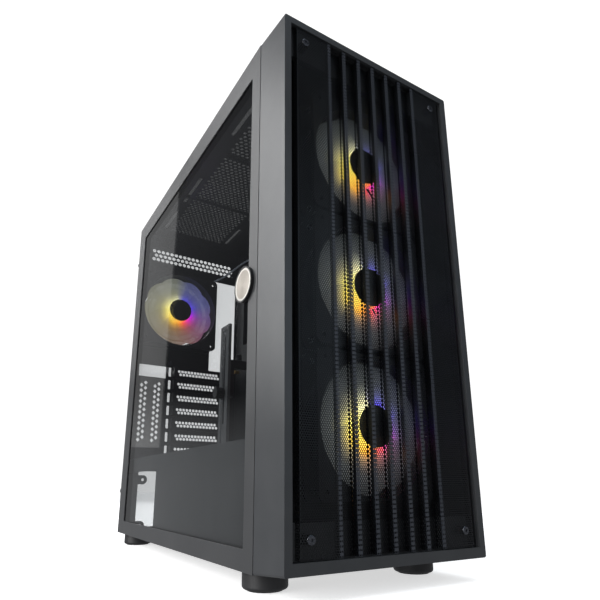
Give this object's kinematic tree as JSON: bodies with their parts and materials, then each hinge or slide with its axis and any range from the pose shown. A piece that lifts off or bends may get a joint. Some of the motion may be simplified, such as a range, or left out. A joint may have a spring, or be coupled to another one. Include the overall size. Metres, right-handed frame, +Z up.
{
  "type": "desktop computer tower case",
  "caption": "Mid-tower computer case with grooved mesh front, lit fans, glass left side panel and supply shroud on round feet.",
  "frame": {"origin": "bottom centre of the whole case's box, on the plane the feet stand on", "axes": "+Z up, front faces -Y, glass panel on the -X side"},
  "size_m": [0.205, 0.462, 0.4826],
  "materials": {
    "powder_coat": "black powder coat, satin, fine grain",
    "support_black": "black powder coat",
    "bezel_plastic": "moulded ABS, fine spark texture",
    "mesh_steel": "perforated steel sheet, black, satin",
    "black_screw": "black oxide",
    "brass": "turned",
    "rubber": "moulded, matt",
    "foam_tape": "foam tape",
    "smoked_glass": "tempered, lightly smoked, polished",
    "pull_black": "satin",
    "pull_metal": "spun, pale champagne",
    "filter_net": "nylon net on a magnetic rim",
    "foot_plastic": "moulded",
    "drive_plastic": "moulded",
    "circuit_board": "solder mask",
    "socket_steel": "plated sheet",
    "socket_plastic": "moulded",
    "button_plastic": "moulded",
    "lead_sleeve": "ribbed sleeve",
    "fan_housing": "moulded",
    "fan_lamp": "windings and ring of lamps",
    "fan_blade": "frosted, lets light through",
    "hub_black": "satin cover"
  },
  "bodies": {
    "case": {"audio_sockets": "socket_plastic", "bottom_pan": "powder_coat", "cable_grommets": "rubber", "card_support_post": "powder_coat", "drive_cage": "powder_coat", "fan_screws": "black_screw", "feet": "foot_plastic", "filter_rails": "foot_plastic", "foot_pads": "rubber", "front_chassis_wall": "powder_coat", "front_fan_low_frame": "fan_housing", "front_fan_low_motor": "fan_lamp", "front_fan_middle_frame": "fan_housing", "front_fan_middle_motor": "fan_lamp", "front_fan_top_frame": "fan_housing", "front_fan_top_motor": "fan_lamp", "io_board": "circuit_board", "motherboard_standoffs": "brass", "motherboard_tray": "powder_coat", "panel_switches": "socket_plastic", "psu_shroud": "powder_coat", "rear_fan_frame": "fan_housing", "rear_fan_lead": "lead_sleeve", "rear_fan_motor": "fan_lamp", "rear_panel": "powder_coat", "slot_covers": "powder_coat", "slot_strip_screws": "black_screw", "ssd_plate": "powder_coat", "top_panel": "powder_coat", "upright_slot_covers": "powder_coat", "usb_sockets": "socket_steel"},
    "bezel": {"bezel_frame": "bezel_plastic", "front_mesh": "mesh_steel", "mesh_screws": "black_screw"},
    "left_panel": {"glass_panel_frame": "powder_coat", "glass_pane": "smoked_glass", "glass_tape": "foam_tape", "panel_pull": "pull_black", "panel_pull_disc": "pull_metal"},
    "right_panel": {"right_side_panel": "powder_coat"},
    "top_filter": {"top_dust_filter": "filter_net"},
    "bottom_filter": {"bottom_dust_filter": "filter_net"},
    "power_button": {"power_button": "button_plastic"},
    "reset_button": {"reset_button": "button_plastic"},
    "drive_tray_1": {"drive_tray_1": "drive_plastic"},
    "drive_tray_2": {"drive_tray_2": "drive_plastic"},
    "support_arm": {"card_support_arm": "support_black"},
    "support_knob": {"card_support_knob": "button_plastic"},
    "thumbscrew_left_low": {"thumbscrew_left_low": "black_screw"},
    "thumbscrew_left_top": {"thumbscrew_left_top": "black_screw"},
    "thumbscrew_right_low": {"thumbscrew_right_low": "black_screw"},
    "thumbscrew_right_top": {"thumbscrew_right_top": "black_screw"},
    "front_fan_low_rotor": {"front_fan_low_impeller": "fan_blade", "front_fan_low_hub_cap": "hub_black"},
    "front_fan_middle_rotor": {"front_fan_middle_impeller": "fan_blade", "front_fan_middle_hub_cap": "hub_black"},
    "front_fan_top_rotor": {"front_fan_top_impeller": "fan_blade", "front_fan_top_hub_cap": "hub_black"},
    "rear_fan_rotor": {"rear_fan_impeller": "fan_blade", "rear_fan_hub_cap": "hub_black"}
  },
  "joints": [
    {"name": "bezel_pull", "type": "slide", "parent": "case", "child": "bezel", "axis": [0, -1, 0], "range_m": [0, 0.06]},
    {"name": "left_panel_slide", "type": "slide", "parent": "case", "child": "left_panel", "axis": [0, 1, 0], "range_m": [0, 0.015]},
    {"name": "right_panel_slide", "type": "slide", "parent": "case", "child": "right_panel", "axis": [0, 1, 0], "range_m": [0, 0.015]},
    {"name": "top_filter_lift", "type": "slide", "parent": "case", "child": "top_filter", "axis": [0, 0, 1], "range_m": [0, 0.05]},
    {"name": "bottom_filter_slide", "type": "slide", "parent": "case", "child": "bottom_filter", "axis": [0, 1, 0], "range_m": [0, 0.17]},
    {"name": "power_button_press", "type": "slide", "parent": "case", "child": "power_button", "axis": [0, 0, -1], "range_m": [0, 0.0015], "stiffness_N_per_m": 400, "springref_m": -0.002},
    {"name": "reset_button_press", "type": "slide", "parent": "case", "child": "reset_button", "axis": [0, 0, -1], "range_m": [0, 0.0012], "stiffness_N_per_m": 400, "springref_m": -0.002},
    {"name": "drive_tray_1_slide", "type": "slide", "parent": "case", "child": "drive_tray_1", "axis": [1, 0, 0], "range_m": [0, 0.02]},
    {"name": "drive_tray_2_slide", "type": "slide", "parent": "case", "child": "drive_tray_2", "axis": [1, 0, 0], "range_m": [0, 0.02]},
    {"name": "support_arm_slide", "type": "slide", "parent": "case", "child": "support_arm", "axis": [0, 0, 1], "range_m": [-0.03, 0.05]},
    {"name": "support_knob_turn", "type": "hinge", "parent": "support_arm", "child": "support_knob", "pos_m": [-0.0535, -0.01005, 0.18], "axis": [1, 0, 0], "continuous": true},
    {"name": "thumbscrew_left_low_turn", "type": "hinge", "parent": "left_panel", "child": "thumbscrew_left_low", "pos_m": [-0.0947, 0.22405, 0.071], "axis": [0, 1, 0], "continuous": true},
    {"name": "thumbscrew_left_top_turn", "type": "hinge", "parent": "left_panel", "child": "thumbscrew_left_top", "pos_m": [-0.0947, 0.22405, 0.423], "axis": [0, 1, 0], "continuous": true},
    {"name": "thumbscrew_right_low_turn", "type": "hinge", "parent": "right_panel", "child": "thumbscrew_right_low", "pos_m": [0.0977, 0.22405, 0.071], "axis": [0, 1, 0], "continuous": true},
    {"name": "thumbscrew_right_top_turn", "type": "hinge", "parent": "right_panel", "child": "thumbscrew_right_top", "pos_m": [0.0977, 0.22405, 0.423], "axis": [0, 1, 0], "continuous": true},
    {"name": "front_fan_low_spin", "type": "hinge", "parent": "case", "child": "front_fan_low_rotor", "pos_m": [0.0015, -0.20305, 0.125], "axis": [0, 1, 0], "continuous": true},
    {"name": "front_fan_middle_spin", "type": "hinge", "parent": "case", "child": "front_fan_middle_rotor", "pos_m": [0.0015, -0.20305, 0.2485], "axis": [0, 1, 0], "continuous": true},
    {"name": "front_fan_top_spin", "type": "hinge", "parent": "case", "child": "front_fan_top_rotor", "pos_m": [0.0015, -0.20305, 0.372], "axis": [0, 1, 0], "continuous": true},
    {"name": "rear_fan_spin", "type": "hinge", "parent": "case", "child": "rear_fan_rotor", "pos_m": [-0.0345, 0.20915, 0.349], "axis": [0, 1, 0], "continuous": true}
  ]
}
